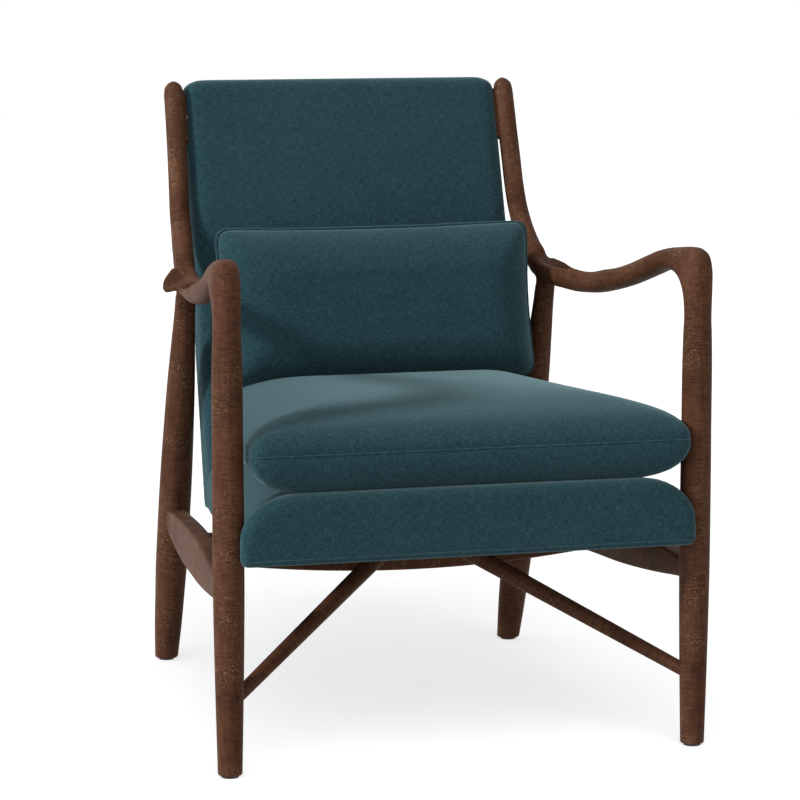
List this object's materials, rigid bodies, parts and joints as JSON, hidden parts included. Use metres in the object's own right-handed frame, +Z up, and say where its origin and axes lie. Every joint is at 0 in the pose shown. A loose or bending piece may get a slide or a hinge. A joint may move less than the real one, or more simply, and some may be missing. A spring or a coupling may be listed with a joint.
{
  "type": "fireside chair",
  "caption": "Low upholstered lounge chair with a sculpted wooden frame, raked round legs, flowing armrests, a slab seat and back, a loose seat cushion and a loose lumbar cushion.",
  "frame": {"origin": "on the floor, at the middle of the footprint of the whole chair", "axes": "+Z up, the front of the chair towards -Y, +X to the right of someone who faces the chair from the front"},
  "size_m": [0.6482, 0.7361, 0.8341],
  "materials": {
    "walnut": "dark walnut stain with a satin oil finish and fine lighter flecks",
    "bare_wood": "unfinished beech",
    "cloth": "fine heathered plain weave in dark teal",
    "foam": null,
    "lining": "black spunbond lining cloth",
    "webbing": "woven seat webbing",
    "steel": "zinc-plated screws",
    "glide": "moulded glide",
    "zip": "nylon zip dyed to the cloth"
  },
  "bodies": {
    "frame": {"front_leg_right": "walnut", "front_leg_left": "walnut", "rear_leg_right": "walnut", "rear_leg_left": "walnut", "armrest_right": "walnut", "armrest_left": "walnut", "back_post_right": "walnut", "back_post_left": "walnut", "side_rail_right": "walnut", "side_rail_left": "walnut", "front_cross_rail": "walnut", "rear_cross_rail": "walnut", "stretcher_right": "walnut", "stretcher_left": "walnut", "front_glide_right": "glide", "front_glide_left": "glide", "rear_glide_right": "glide", "rear_glide_left": "glide", "arm_front_dowel_right": "bare_wood", "arm_front_dowel_left": "bare_wood", "arm_rear_dowel_right": "bare_wood", "arm_rear_dowel_left": "bare_wood", "post_dowel_right": "bare_wood", "post_dowel_left": "bare_wood", "back_spacer_right": "walnut", "back_spacer_left": "walnut", "back_pin_right": "bare_wood", "back_pin_left": "bare_wood", "back_stile_right": "bare_wood", "back_stile_left": "bare_wood", "back_rail_top": "bare_wood", "back_rail_bottom": "bare_wood", "back_foam": "foam", "back_cover": "cloth", "back_panel": "cloth", "deck_frame_front": "bare_wood", "deck_frame_rear": "bare_wood", "deck_frame_side_right": "bare_wood", "deck_frame_side_left": "bare_wood", "deck_strap_left": "webbing", "deck_strap_middle": "webbing", "deck_strap_right": "webbing", "deck_foam": "foam", "deck_cover": "cloth", "deck_welt": "cloth", "dust_cover": "lining", "deck_screw_front_right": "steel", "deck_screw_front_left": "steel", "deck_screw_rear_right": "steel", "deck_screw_rear_left": "steel", "back_bolt_right": "steel", "back_bolt_left": "steel"},
    "seat_cushion": {"seat_cushion_cover": "cloth", "seat_cushion_core": "foam", "seat_cushion_zip": "zip"},
    "lumbar_cushion": {"lumbar_cover": "cloth", "lumbar_core": "foam", "lumbar_welt": "cloth", "lumbar_zip": "zip"}
  },
  "joints": [
    {"name": "seat_cushion_slide", "type": "slide", "parent": "frame", "child": "seat_cushion", "axis": [0, -0.9992, 0.0401], "range_m": [0, 0.12]},
    {"name": "lumbar_cushion_lift", "type": "slide", "parent": "frame", "child": "lumbar_cushion", "axis": [0, 0, 1], "range_m": [0, 0.15]}
  ]
}
